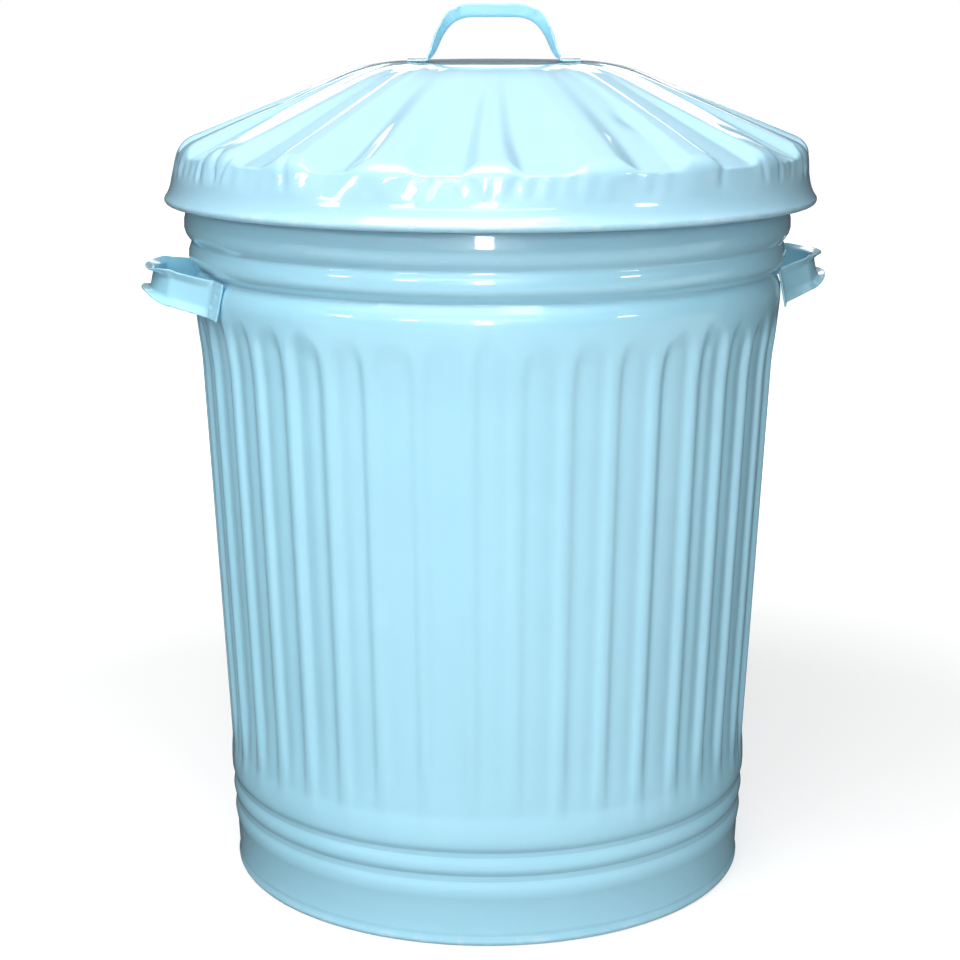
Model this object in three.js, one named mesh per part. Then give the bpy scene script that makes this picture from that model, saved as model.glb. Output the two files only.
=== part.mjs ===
// Round steel dustbin: a tapered, fluted can with two strap handles and a loose, fluted, conical lid.
// Millimetres, +Z up. The origin lies on the floor, on the can's axis. The side handles lie on X.
import * as THREE from 'three';

// ---- Driving dimensions -----------------------------------------------------------------------

const SHEET = 0.8; // steel sheet of the can, the base and the lid
const GAP = 0.3; // left between pieces that touch
const WIRE = 4.2; // thickness of the wire inside every rolled edge

// Can. The plain taper is the cone that the ribs, beads, creases and flutes are pressed out of. A
// stand is how far a crest or a crease lies outside it.
const CAN_HEIGHT = 577; // floor to the top of the rolled rim
const FOOT_RADIUS = 206.3; // outside of the plain taper at the floor
const MOUTH_RADIUS = 233.4; // outside of the plain taper at the rim
const FOOT_TUCK = 1.6; // how far the foot's wire lies inside the plain taper
const RIM_LEAN = 1; // how far the rim's wire lies outside the neck
const CREST_FLAT = 6; // height of the flat on top of a rib or a bead

// Foot ribs, with a crease halfway between one and the next.
const FOOT_EASE = 2.6; // from the top of the rolled foot to the plain wall
const FOOT_RIBS = 3;
const FOOT_RIB_HEIGHT = 46; // floor to the middle of the lowest rib
const FOOT_RIB_PITCH = 19;
const FOOT_RIB_STAND = 1.5;
const FOOT_CREASE_STAND = -0.8;

// Can flutes: narrow ridges with wide, flat hollows between them.
const CAN_FLUTES = 40;
const CAN_FLUTE_DEPTH = 3.4;
const CAN_RIDGE_SHARE = 0.24; // share of a flute's pitch that is ridge top
const CAN_SLOPE_SHARE = 0.2; // share of the pitch that each side slope takes
const FLUTE_HEIGHT = 104; // floor to where the flutes start
const FLUTE_DROP = 154; // rim to where they stop
const FLUTE_RUN_OUT = 18; // length over which a hollow fades away

// Collar: a swelling over the flutes, two beads and a neck. Drops are measured down from the rim.
const SHOULDER_DROP = 107; // to the top of the swelling
const SHOULDER_LENGTH = 27;
const SHOULDER_STAND = 2.4;
const BEAD_DROP = 56.5; // to the middle of the upper bead
const BEAD_PITCH = 22.5; // upper bead to lower bead, with a crease halfway and one below
const UPPER_BEAD_STAND = 6.4;
const UPPER_CREASE_STAND = 0.8;
const LOWER_BEAD_STAND = 4.2;
const LOWER_CREASE_STAND = -4;
const NECK_DROP = 11; // to the top of the neck
const NECK_LENGTH = 34;
const NECK_STAND = 1.6; // at its top
const NECK_FOOT_STAND = 4.2;

// Base panel: a shallow pan pushed up inside the foot, with one stiffening step.
const BASE_HEIGHT = 18; // floor to the panel's top face
const BASE_CORNER = 3; // bevel between the panel and its turned-down edge
const BASE_STEP_RADIUS = 150;
const BASE_STEP = 4; // how far the middle is pressed down

// Lid. Heights are above the middle of the lid's rolled edge.
const LID_CLEARANCE = 4.5; // between the can's rim and the hollows of the skirt
const LID_SPLAY = 2.8; // how far the skirt widens from the shoulder down to its flare
const LID_EDGE_STAND = 9.6; // how far the rolled edge stands out from the shoulder
const LID_SKIRT_FOOT = 11; // height at which the skirt flares out to the edge
const LID_SHOULDER = 41.5; // height of the bend between skirt and cone
const LID_BEND = 8; // radius taken off that bend
const LID_SLOPE = 22; // degrees the cone rises
const LID_TOP_RADIUS = 95.4; // flat top
const LID_TURN = -10.5; // degrees the lid is turned against the side handles

// Lid flutes: broad hollows that run down the cone and scallop the shoulder.
const LID_FLUTES = 20;
const LID_FLUTE_DEPTH = 8.3; // at the top of the shoulder
const LID_SKIRT_SHARE = 0.3; // share of the depth left where the skirt begins
const LID_MIDDLE_SHARE = 0.7; // share left halfway up the cone
const LID_TOP_SHARE = 0.12; // share that reaches the flat top
const LID_RIDGE_SHARE = 0.3; // share of a flute's pitch that is ridge top
const LID_SLOPE_SHARE = 0.2; // share of the pitch that each side slope takes

// Handles: straps whose long edges are turned up into lips, away from the hand.
const STRAP = 1.5; // strap thickness
const STRAP_WIDTH = 27; // at the flat, welded feet
const STRAP_BEND = 3; // width of strap that the bend between the web and a lip takes
const LIP_TURN = 80; // degrees that the lips are turned up in the middle of a grip
const LIP_ROOT_SHARE = 0.2; // share of that turn where a leg leaves its foot
const LIP_BEND_SHARE = 0.5; // share of it where the leg bends into the grip
const SIDE_HANDLE_DROP = 103.5; // rim to the middle of the feet
const SIDE_HANDLE_TILT = 12; // degrees that the grip is tilted up
const SIDE_HANDLE_SPAN = 169; // between the ends of the feet
const SIDE_HANDLE_FOOT = 17; // length of a foot
const SIDE_HANDLE_GRIP = 87; // between the two bends
const SIDE_HANDLE_REACH = 24; // plain taper of the can to the strap, at the bends
const SIDE_HANDLE_BOW = 17; // extra reach in the middle of the grip
const SIDE_HANDLE_LIP = 6.4; // width of the lips
const LID_HANDLE_SPAN = 134; // between the ends of the feet
const LID_HANDLE_RISE = 34.6; // lid to the underside of the grip
const LID_HANDLE_LIP = 8.7;
const LID_HANDLE_SHIFT = 4; // how far the handle is welded off the middle of the lid

// The lid handle's leg narrows upwards. Its width is measured between the two legs.
const LEG_ROOT_WIDTH = 98;
const LEG_KNEE_WIDTH = 92;
const LEG_KNEE_HEIGHT = 5.7;
const LEG_WAIST_WIDTH = 78;
const LEG_WAIST_HEIGHT = 21.4;
const LEG_SHOULDER_WIDTH = 62;
const LEG_SHOULDER_HEIGHT = 30.6;
const LID_HANDLE_GRIP = 46; // length of the flat part of the grip

// Facets.
const ROUND = 60; // sides of a plain ring
const WIRE_SIDES = 6;
const EDGE_SIDES = 8; // sides of a full turn of sheet round a wire
const EDGE_TURN = 5; // of which a rolled edge has this many
const LEG_STEPS = 3;
const GRIP_STEPS = 3; // from a bend to the middle of a side handle

// Every sheet and strap has the same pale blue gloss coat. The wires are bare.
const paint = (name) =>
  new THREE.MeshStandardMaterial({ name, color: 0xa9dff2, roughness: 0.28, metalness: 0.1 });
const bareWire = () =>
  new THREE.MeshStandardMaterial({ name: 'wire', color: 0x9aa3a8, roughness: 0.45, metalness: 0.9 });

// ---- Sheet outlines ---------------------------------------------------------------------------

const mix = (a, b, t) => a + (b - a) * t;
const point = (r, z, flute = 0) => ({ r, z, flute });

// The direction of a path at each of its points, and how much a mitre there lengthens what is
// measured square to it.
function mitres(places) {
  const last = places.length - 1;
  return places.map((place, i) => {
    const from = place.clone().sub(places[Math.max(i - 1, 0)]).normalize();
    const to = places[Math.min(i + 1, last)].clone().sub(place).normalize();
    if (i === 0) from.copy(to);
    if (i === last) to.copy(from);
    const along = from.clone().add(to).normalize();
    return { along, stretch: 1 / along.dot(to) };
  });
}

// Gives an open line its thickness, half to each side. Every point keeps its place and gets its unit
// normal, which lies to the right of the way that the line runs, and its mitred half thickness.
function thicken(line, thickness) {
  const turns = mitres(line.map((p) => new THREE.Vector2(p.r, p.z)));
  return line.map((p, i) => {
    const { along, stretch } = turns[i];
    return { ...p, nr: along.y, nz: -along.x, half: (thickness / 2) * stretch };
  });
}

// One face of a thickened line. Side is 1 for the outer face of a turned sheet, -1 for the inner.
const face = (line, thickness, side) =>
  thicken(line, thickness).map((p) => ({
    ...p,
    r: p.r + side * p.half * p.nr,
    z: p.z + side * p.half * p.nz,
  }));

// A rolled edge: sheet turned round a wire, flat at the top and the bottom. Its corners are numbered
// from the upper of the two outermost, over the top. Way is 1 to follow the numbers, or -1.
const EDGE_INSIDE = WIRE / 2 + GAP;
const EDGE_OUTSIDE = EDGE_INSIDE + SHEET;
const UPPER_INNER_CORNER = 3;
const LOWER_INNER_CORNER = 4;
function rolledEdge(wire, firstCorner, way) {
  const side = (2 * Math.PI) / EDGE_SIDES;
  const reach = (EDGE_INSIDE + SHEET / 2) / Math.cos(side / 2);
  return Array.from({ length: EDGE_TURN + 1 }, (_, i) => {
    const a = (firstCorner + 0.5 + way * i) * side;
    return point(wire.r + reach * Math.cos(a), wire.z + reach * Math.sin(a));
  });
}

// ---- Skins ------------------------------------------------------------------------------------

// Joins two neighbouring rings by stepping round both at once. A ring is { points, turns }, where
// turns says how far round each point lies. The rings may have different numbers of points.
function zip(a, b, triangles) {
  const turn = (ring, i) => (i < ring.turns.length ? ring.turns[i] : ring.turns[0] + 1);
  const at = (ring, i) => ring.start + (i % ring.turns.length);
  const steps = (ring) => (ring.turns.length > 1 ? ring.turns.length : 0);
  let i = 0;
  let j = 0;
  while (i < steps(a) || j < steps(b)) {
    const stepA = j >= steps(b) || (i < steps(a) && turn(a, i + 1) <= turn(b, j + 1));
    if (stepA) {
      triangles.push(at(a, i), at(a, i + 1), at(b, j));
      i += 1;
    } else {
      triangles.push(at(a, i), at(b, j + 1), at(b, j));
      j += 1;
    }
  }
}

// A closed body from a row of rings. Without a cap the last ring joins the first. With one, a list
// of triangles between a ring's own points, it closes both ends.
function skin(rings, cap) {
  let count = 0;
  for (const ring of rings) {
    ring.start = count;
    count += ring.points.length;
  }
  const triangles = [];
  for (let k = 1; k < rings.length; k += 1) zip(rings[k - 1], rings[k], triangles);
  const first = rings[0];
  const last = rings[rings.length - 1];
  if (!cap) zip(last, first, triangles);
  for (const [a, b, c] of cap ?? []) {
    triangles.push(first.start + c, first.start + b, first.start + a);
    triangles.push(last.start + a, last.start + b, last.start + c);
  }
  const geometry = new THREE.BufferGeometry();
  const places = rings.flatMap((ring) => ring.points.flatMap((p) => [p.x, p.y, p.z]));
  geometry.setAttribute('position', new THREE.Float32BufferAttribute(places, 3));
  geometry.setIndex(triangles);
  geometry.computeVertexNormals();
  return geometry;
}

// The corners of every flute round a ring: how far round each lies, and how deep it is, from 0 on a
// ridge to 1 in a hollow. Phase turns the whole pattern, in flutes.
function flutePattern(count, ridgeShare, slopeShare, phase) {
  const ridge = ridgeShare / 2;
  const hollow = ridge + slopeShare;
  const corners = [
    { at: -ridge, depth: 0 },
    { at: ridge, depth: 0 },
    { at: hollow, depth: 1 },
    { at: 1 - hollow, depth: 1 },
  ];
  const flutes = Array.from({ length: count }, (_, k) => k + phase);
  return flutes.flatMap((k) => corners.map(({ at, depth }) => ({ turn: (k + at) / count, depth })));
}

const evenPattern = Array.from({ length: ROUND }, (_, k) => ({ turn: k / ROUND, depth: 0 }));

// One ring of a turned sheet. Side is 1 for the outer face and -1 for the inner one. Flutes sink
// both faces along the sheet's own normal, so the sheet keeps its thickness.
function ringOf(p, side, flutes) {
  const r = p.r + side * p.half * p.nr;
  const z = p.z + side * p.half * p.nz;
  if (p.r === 0) return { points: [new THREE.Vector3(0, 0, z)], turns: [0] };
  const pattern = p.flute > 0 ? flutes.pattern : evenPattern;
  const points = pattern.map(({ turn, depth }) => {
    const sink = p.flute > 0 ? depth * p.flute * flutes.depth : 0;
    const a = turn * 2 * Math.PI;
    const reach = r - sink * p.nr;
    return new THREE.Vector3(reach * Math.cos(a), reach * Math.sin(a), z - sink * p.nz);
  });
  return { points, turns: pattern.map(({ turn }) => turn) };
}

// Sheet metal turned round the Z axis: along the outer face of the line and back on the inner one.
function turnedSheet(line, flutes) {
  const sheet = thicken(line, SHEET);
  const outer = sheet.map((p) => ringOf(p, 1, flutes));
  const inner = sheet.map((p) => ringOf(p, -1, flutes)).reverse();
  return skin([...outer, ...inner]);
}

function wireRing(wire) {
  const ring = new THREE.TorusGeometry(wire.r, WIRE / 2, WIRE_SIDES, ROUND);
  ring.translate(0, 0, wire.z);
  return ring;
}

// ---- Can --------------------------------------------------------------------------------------

const taper = (z) => mix(FOOT_RADIUS, MOUTH_RADIUS, z / CAN_HEIGHT);
const onTaper = (z, stand, flute = 0) => point(taper(z) + stand - SHEET / 2, z, flute);
const crest = (z, stand) => [onTaper(z - CREST_FLAT / 2, stand), onTaper(z + CREST_FLAT / 2, stand)];
const belowRim = (drop) => CAN_HEIGHT - drop;

const footWire = { r: FOOT_RADIUS - FOOT_TUCK, z: EDGE_OUTSIDE };
const neckRadius = taper(belowRim(NECK_DROP)) + NECK_STAND;
const rimWire = { r: neckRadius - SHEET / 2 + RIM_LEAN, z: CAN_HEIGHT - EDGE_OUTSIDE };

const footRibs = Array.from({ length: FOOT_RIBS }, (_, k) => {
  const z = FOOT_RIB_HEIGHT + k * FOOT_RIB_PITCH;
  const creaseStand = k === 0 ? 0 : FOOT_CREASE_STAND;
  return [onTaper(z - FOOT_RIB_PITCH / 2, creaseStand), ...crest(z, FOOT_RIB_STAND)];
});

const rimEdge = rolledEdge(rimWire, LOWER_INNER_CORNER, -1);
const canLine = [
  ...rolledEdge(footWire, UPPER_INNER_CORNER, 1),
  onTaper(2 * EDGE_OUTSIDE + FOOT_EASE, 0),
  ...footRibs.flat(),
  onTaper(FLUTE_HEIGHT, 0),
  onTaper(FLUTE_HEIGHT + FLUTE_RUN_OUT, 0, 1),
  onTaper(belowRim(FLUTE_DROP + FLUTE_RUN_OUT), 0, 1),
  onTaper(belowRim(FLUTE_DROP), 0),
  onTaper(belowRim(SHOULDER_DROP + SHOULDER_LENGTH), SHOULDER_STAND),
  onTaper(belowRim(SHOULDER_DROP), SHOULDER_STAND),
  onTaper(belowRim(BEAD_DROP + 1.5 * BEAD_PITCH), LOWER_CREASE_STAND),
  ...crest(belowRim(BEAD_DROP + BEAD_PITCH), LOWER_BEAD_STAND),
  onTaper(belowRim(BEAD_DROP + 0.5 * BEAD_PITCH), UPPER_CREASE_STAND),
  ...crest(belowRim(BEAD_DROP), UPPER_BEAD_STAND),
  onTaper(belowRim(NECK_DROP + NECK_LENGTH), NECK_FOOT_STAND),
  point(neckRadius - SHEET / 2, belowRim(NECK_DROP)),
  ...rimEdge,
];

// Phase 0.5 puts a hollow on the X axis, in the middle behind each side handle.
const canFlutes = {
  pattern: flutePattern(CAN_FLUTES, CAN_RIDGE_SHARE, CAN_SLOPE_SHARE, 0.5),
  depth: CAN_FLUTE_DEPTH,
};

// The radius, at a middle height, of a face that leans in by so much for each millimetre it rises and
// just touches the outside of the can within a half height of that middle.
function canReach(middle, halfHeight, lean) {
  const outside = face(canLine, SHEET, 1);
  const [low, high] = [middle - halfHeight, middle + halfHeight];
  let reach = 0;
  for (let i = 1; i < outside.length; i += 1) {
    const [a, b] = [outside[i - 1], outside[i]];
    if (b.z <= a.z) continue;
    for (const z of [low, high, a.z, b.z]) {
      const t = (z - a.z) / (b.z - a.z);
      if (z < low || z > high || t < 0 || t > 1) continue;
      reach = Math.max(reach, mix(a.r, b.r, t) + (z - middle) * lean);
    }
  }
  return reach;
}

// ---- Base panel -------------------------------------------------------------------------------

const baseEdgeRadius = taper(0) - SHEET - GAP - SHEET / 2;
const baseTop = BASE_HEIGHT - SHEET / 2;
const baseLine = [
  point(baseEdgeRadius, 2 * EDGE_OUTSIDE + GAP),
  point(baseEdgeRadius, baseTop - BASE_CORNER),
  point(baseEdgeRadius - BASE_CORNER, baseTop),
  point(BASE_STEP_RADIUS, baseTop),
  point(BASE_STEP_RADIUS - BASE_STEP, baseTop - BASE_STEP),
  point(0, baseTop - BASE_STEP),
];

// ---- Lid --------------------------------------------------------------------------------------

// Worked out with the middle of the rolled edge at height 0.
const hollowInset = LID_CLEARANCE + LID_SKIRT_SHARE * LID_FLUTE_DEPTH;
const lidShoulderRadius = rimWire.r + EDGE_OUTSIDE + hollowInset;
const coneRise = Math.tan(THREE.MathUtils.degToRad(LID_SLOPE));
const coneHeight = (r) => LID_SHOULDER + (lidShoulderRadius - r) * coneRise;
const lidTop = coneHeight(LID_TOP_RADIUS);
const lidWire = { r: lidShoulderRadius + LID_EDGE_STAND - EDGE_OUTSIDE, z: 0 };
const coneStart = lidShoulderRadius - LID_BEND;
const coneMiddle = mix(coneStart, LID_TOP_RADIUS, 0.5);
const skirtMiddle = mix(LID_SKIRT_FOOT, LID_SHOULDER, 0.5);
const onSkirt = (z, splay, flute = 0) => point(lidShoulderRadius + splay - SHEET / 2, z, flute);
const onCone = (r, flute) => point(r, coneHeight(r) - SHEET / 2, flute);

const lidLine = [
  ...rolledEdge(lidWire, LOWER_INNER_CORNER, 1),
  onSkirt(LID_SKIRT_FOOT, LID_SPLAY),
  onSkirt(skirtMiddle, LID_SPLAY / 2),
  onSkirt(LID_SHOULDER - LID_BEND, 0, LID_SKIRT_SHARE),
  onCone(coneStart, 1),
  onCone(coneMiddle, LID_MIDDLE_SHARE),
  onCone(LID_TOP_RADIUS + LID_BEND, LID_TOP_SHARE),
  point(LID_TOP_RADIUS - LID_BEND, lidTop - SHEET / 2),
  point(0, lidTop - SHEET / 2),
];

const lidFlutes = {
  pattern: flutePattern(LID_FLUTES, LID_RIDGE_SHARE, LID_SLOPE_SHARE, 0),
  depth: LID_FLUTE_DEPTH,
};

// The lid rests on the rim with the hollows of its cone. Its height follows from their inner face:
// at every corner of the rim, that face keeps the gap. Flat facets lie a little inside their ring.
const hollowFace = thicken(lidLine, SHEET).map((p) => {
  const sink = p.half + p.flute * LID_FLUTE_DEPTH;
  return { r: (p.r - sink * p.nr) * Math.cos(Math.PI / ROUND), z: p.z - sink * p.nz };
});
const rimFace = face(canLine, SHEET, -1).slice(-rimEdge.length);

function heightToRest(under, seat) {
  const gapAbove = GAP / Math.cos(THREE.MathUtils.degToRad(LID_SLOPE));
  let height = -Infinity;
  for (const corner of seat) {
    for (let i = 1; i < under.length; i += 1) {
      const [a, b] = [under[i - 1], under[i]];
      const t = (corner.r - a.r) / (b.r - a.r);
      if (b.r >= a.r || b.z <= a.z || t < 0 || t > 1) continue;
      height = Math.max(height, corner.z - mix(a.z, b.z, t) + gapAbove);
    }
  }
  return height;
}
const lidHeight = heightToRest(hollowFace, rimFace);

// ---- Strap handles ----------------------------------------------------------------------------

// Across the strap: a flat web, and at each side a bend in two halves and a lip. Turned is how far
// the lips are turned up, as a share of their full turn. The strap's developed width never changes.
function strapSection(lip, turned) {
  const turn = THREE.MathUtils.degToRad(LIP_TURN * turned);
  const web = STRAP_WIDTH / 2 - lip - STRAP_BEND / 2;
  const go = (from, angle, length) =>
    point(from.r + length * Math.sin(angle), from.z + length * Math.cos(angle));
  const bendStart = point(0, web);
  const bendEnd = go(bendStart, turn / 2, STRAP_BEND);
  const half = [bendStart, bendEnd, go(bendEnd, turn, lip - STRAP_BEND / 2)];
  return [...half.map((p) => point(p.r, -p.z)).reverse(), ...half];
}

// A strap bent along a path in one plane. Each station is { x, y, turned }: its place in that plane
// and the turn of its lips. The lips stand to the left of the way that the path runs.
function strap(stations, lip) {
  const bends = mitres(stations.map(({ x, y }) => new THREE.Vector2(x, y)));
  const rings = stations.map(({ x, y, turned }, i) => {
    const { along, stretch } = bends[i];
    const place = (p) => {
      const out = p.r * stretch;
      return new THREE.Vector3(x - along.y * out, y + along.x * out, p.z);
    };
    const section = strapSection(lip, turned);
    const corners = [...face(section, STRAP, 1), ...face(section, STRAP, -1).reverse()];
    return { points: corners.map(place), turns: corners.map((_, k) => k / corners.length) };
  });
  const corners = rings[0].points.length;
  const cap = [];
  for (let k = 0; k < corners / 2 - 1; k += 1) {
    const [a, b, c, d] = [k, k + 1, corners - 2 - k, corners - 1 - k];
    cap.push([a, b, c], [a, c, d]);
  }
  return skin(rings, cap);
}

const mirrored = (half) => [...half, ...half.slice(0, -1).reverse().map((s) => ({ ...s, y: -s.y }))];
const legTurn = (t) => mix(LIP_ROOT_SHARE, LIP_BEND_SHARE, t);
const gripTurn = (t) => mix(LIP_BEND_SHARE, 1, t);

// Side handle in plan, on the +X side: foot, leg and half of the bowed grip, then mirrored.
const handleHeight = belowRim(SIDE_HANDLE_DROP);
const tilt = THREE.MathUtils.degToRad(SIDE_HANDLE_TILT);
const seatReach = canReach(handleHeight, (STRAP_WIDTH / 2) * Math.cos(tilt), Math.tan(tilt));
const seatRadius = seatReach + (GAP + STRAP / 2) / Math.cos(tilt);
const onSeat = (y, turned) => ({ x: Math.sqrt(seatRadius ** 2 - y ** 2), y, turned });
const footEnd = SIDE_HANDLE_SPAN / 2;
const footRoot = footEnd - SIDE_HANDLE_FOOT;
const footMiddle = onSeat((footEnd + footRoot) / 2, 0);
const root = onSeat(footRoot, legTurn(0));
const bend = { x: taper(handleHeight) + SIDE_HANDLE_REACH, y: SIDE_HANDLE_GRIP / 2 };
const leg = Array.from({ length: LEG_STEPS }, (_, i) => {
  const t = (i + 1) / LEG_STEPS;
  return { x: mix(root.x, bend.x, t), y: mix(root.y, bend.y, t), turned: legTurn(t) };
});
const bowedGrip = Array.from({ length: GRIP_STEPS }, (_, i) => {
  const y = bend.y * (1 - (i + 1) / GRIP_STEPS);
  const t = 1 - (y / bend.y) ** 2;
  return { x: bend.x + SIDE_HANDLE_BOW * t, y, turned: gripTurn(t) };
});
const sideHandle = mirrored([onSeat(footEnd, 0), footMiddle, root, ...leg, ...bowedGrip]);

// Lid handle in its own plane: x is height above the lid, y is along the grip.
const legAt = (height, width) => {
  const aboveWaist = (height - LEG_WAIST_HEIGHT) / (LID_HANDLE_RISE - LEG_WAIST_HEIGHT);
  const turned = aboveWaist < 0 ? legTurn(height / LEG_WAIST_HEIGHT) : gripTurn(aboveWaist);
  return { x: height, y: width / 2, turned };
};
const lidHandle = mirrored([
  { x: 0, y: LID_HANDLE_SPAN / 2, turned: 0 },
  { x: 0, y: (LID_HANDLE_SPAN + LEG_ROOT_WIDTH) / 4, turned: 0 },
  legAt(0, LEG_ROOT_WIDTH + 2 * STRAP),
  legAt(LEG_KNEE_HEIGHT, LEG_KNEE_WIDTH),
  legAt(LEG_WAIST_HEIGHT, LEG_WAIST_WIDTH),
  legAt(LEG_SHOULDER_HEIGHT, LEG_SHOULDER_WIDTH),
  legAt(LID_HANDLE_RISE, LID_HANDLE_GRIP),
  legAt(LID_HANDLE_RISE, 0),
]);

// ---- Assembly ---------------------------------------------------------------------------------

function named(name, geometry, material) {
  const mesh = new THREE.Mesh(geometry, material);
  mesh.name = name;
  return mesh;
}

const can = new THREE.Group();
can.add(named('body_shell', turnedSheet(canLine, canFlutes), paint('can paint')));
can.add(named('base_panel', turnedSheet(baseLine), paint('base paint')));
can.add(named('rim_wire', wireRing(rimWire), bareWire()));
can.add(named('foot_wire', wireRing(footWire), bareWire()));
// A side handle is tilted about a line along Y, through the middle of its feet.
for (const [name, turn] of [['side_handle_right', 0], ['side_handle_left', Math.PI]]) {
  const handle = named(name, strap(sideHandle, SIDE_HANDLE_LIP), paint('handle paint'));
  handle.position.x = -footMiddle.x;
  const tilted = new THREE.Group();
  tilted.add(handle);
  tilted.position.set(footMiddle.x, 0, handleHeight);
  tilted.rotation.y = -tilt;
  const side = new THREE.Group();
  side.add(tilted);
  side.rotation.z = turn;
  can.add(side);
}

const lid = new THREE.Group();
lid.position.z = lidHeight;
lid.rotation.z = THREE.MathUtils.degToRad(LID_TURN);
lid.add(named('lid_shell', turnedSheet(lidLine, lidFlutes), paint('lid paint')));
lid.add(named('lid_wire', wireRing(lidWire), bareWire()));

// The strap's plane is stood up: its height axis becomes Z, and its length runs along X.
const grip = named('lid_handle', strap(lidHandle, LID_HANDLE_LIP), paint('handle paint'));
const stand = new THREE.Matrix4().makeBasis(
  new THREE.Vector3(0, 0, 1),
  new THREE.Vector3(1, 0, 0),
  new THREE.Vector3(0, 1, 0),
);
grip.geometry.applyMatrix4(stand);
grip.position.set(LID_HANDLE_SHIFT, 0, lidTop + GAP + STRAP / 2);
lid.add(grip);

const dustbin = new THREE.Group();
dustbin.add(can, lid);

export default dustbin;
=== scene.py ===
"""A painted steel dustbin with a fluted can, two strap handles and a loose, fluted, conical lid."""

import math

import bpy
import numpy as np
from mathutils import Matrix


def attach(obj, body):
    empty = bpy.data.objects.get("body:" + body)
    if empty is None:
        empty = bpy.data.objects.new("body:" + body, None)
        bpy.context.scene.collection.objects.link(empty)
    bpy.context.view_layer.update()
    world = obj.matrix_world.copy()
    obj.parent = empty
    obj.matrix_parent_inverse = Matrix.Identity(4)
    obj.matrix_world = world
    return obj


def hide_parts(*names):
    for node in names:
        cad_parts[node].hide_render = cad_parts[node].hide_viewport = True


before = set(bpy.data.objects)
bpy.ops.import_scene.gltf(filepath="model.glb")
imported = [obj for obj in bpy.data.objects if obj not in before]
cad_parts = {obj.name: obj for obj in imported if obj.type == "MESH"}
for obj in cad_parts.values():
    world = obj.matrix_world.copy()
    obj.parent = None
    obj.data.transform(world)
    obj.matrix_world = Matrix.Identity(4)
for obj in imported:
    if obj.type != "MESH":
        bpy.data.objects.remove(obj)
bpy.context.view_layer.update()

bl_info = {
    "name": "Lidded steel dustbin",
    "version": (1, 0, 0),
    "blender": (4, 5, 0),
    "location": "View3D > Sidebar > Dustbin",
    "description": "Builds a painted steel dustbin round its solid model, with lamps and camera",
    "category": "Object",
}

MM = 0.001
TURN = 2 * math.pi


# ---- Sizes and colours ----

def number(name, description, value, **more):
    """A plain number."""
    return bpy.props.FloatProperty(name=name, description=description, default=value, **more)


def whole(name, description, value):
    """A whole number."""
    return bpy.props.IntProperty(name=name, description=description, default=value)


def length(name, description, millimetres):
    """A size, kept in metres."""
    return number(name, description, millimetres * MM,
                  subtype="DISTANCE", unit="LENGTH", precision=5)


def share(name, description, value):
    """A share, from 0 to 1."""
    return number(name, description, value, min=0.0, max=1.0, subtype="FACTOR")


def angle(name, description, degrees):
    """A turn that the sidebar shows in degrees."""
    return number(name, description, math.radians(degrees), subtype="ANGLE")


def power(name, description, watts):
    """What a lamp gives."""
    return number(name, description, watts, unit="POWER")


def colour(name, description, value):
    """A linear colour."""
    return bpy.props.FloatVectorProperty(name=name, description=description, size=3,
                                         default=value, min=0.0, max=1.0, subtype="COLOR")


def group(kind, name, description):
    """A group of sizes or looks."""
    return bpy.props.PointerProperty(type=kind, name=name, description=description)


class SheetSizes(bpy.types.PropertyGroup):
    """Sheet and wire that every turned piece shares."""

    thickness: length("Sheet", "Thickness of the steel sheet", 0.8)
    wire: length("Wire", "Thickness of the wire inside a rolled edge", 4.2)
    gap: length("Gap", "Left between pieces that touch", 0.3)


class CanSizes(bpy.types.PropertyGroup):
    """The can: a tapered wall with a ribbed foot, flutes and a ribbed collar."""

    height: length("Height", "Floor to the top of the rolled rim", 577)
    foot_radius: length("Foot radius", "Plain taper at the floor", 206.3)
    mouth_radius: length("Mouth radius", "Plain taper at the rim", 233.4)
    foot_tuck: length("Foot tuck", "How far the foot's wire lies inside the taper", 1.6)
    rib_height: length("Foot rib", "Floor to the middle of the lowest rib", 46)
    rib_pitch: length("Foot rib pitch", "From one foot rib to the next", 19)
    rib_stand: length("Foot rib stand", "How far a foot rib stands out", 1.7)
    rib_sag: length("Foot rib sag", "How far a foot rib's crest lies below its middle", 2.6)
    rib_crease: length("Foot crease", "How far a foot crease lies in", 1.7)
    flutes: whole("Flutes", "Flutes round the can", 40)
    flute_depth: length("Flute depth", "Ridge to hollow", 3.3)
    flute_crown: share("Flute crown", "Height of the swelling in the middle of a hollow", 0.3)
    flute_front: share("Front flutes", "Depth of the flutes in front, of that elsewhere", 0.45)
    flute_bottom: length("Flute bottom", "Floor to where the hollows run out", 80)
    flute_top: length("Flute top", "Floor to the top of the arched hollows", 466)
    flute_turn: angle("Flute turn", "Angle of the first ridge from the right handle", 4.0)
    shoulder_height: length("Shoulder", "Floor to the swelling over the flutes", 469)
    shoulder_stand: length("Shoulder stand", "How far the swelling stands out", 2.5)
    shoulder_foot: length("Shoulder foot", "Floor to where the swelling has died away", 421)
    bead_height: length("Upper bead", "Floor to the middle of the upper bead", 521.5)
    bead_pitch: length("Bead pitch", "Upper bead to lower bead", 22.8)
    upper_stand: length("Upper bead stand", "How far the upper bead stands out", 6.5)
    upper_crease: length("Upper crease stand", "Stand of the crease between the beads", 0.6)
    lower_stand: length("Lower bead stand", "How far the lower bead stands out", 4.3)
    lower_crease: length("Lower crease depth", "How far the crease under the beads lies in", 4.7)
    neck_drop: length("Neck drop", "Rim to the top of the neck", 11)


class BaseSizes(bpy.types.PropertyGroup):
    """The pan pushed up inside the foot."""

    height: length("Height", "Floor to the panel's top face", 18)
    corner: length("Corner", "Radius between the panel and its turned-down edge", 3.5)
    step_radius: length("Step radius", "Radius of the stiffening step", 150)
    step: length("Step", "How far the middle is pressed down", 4)


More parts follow.
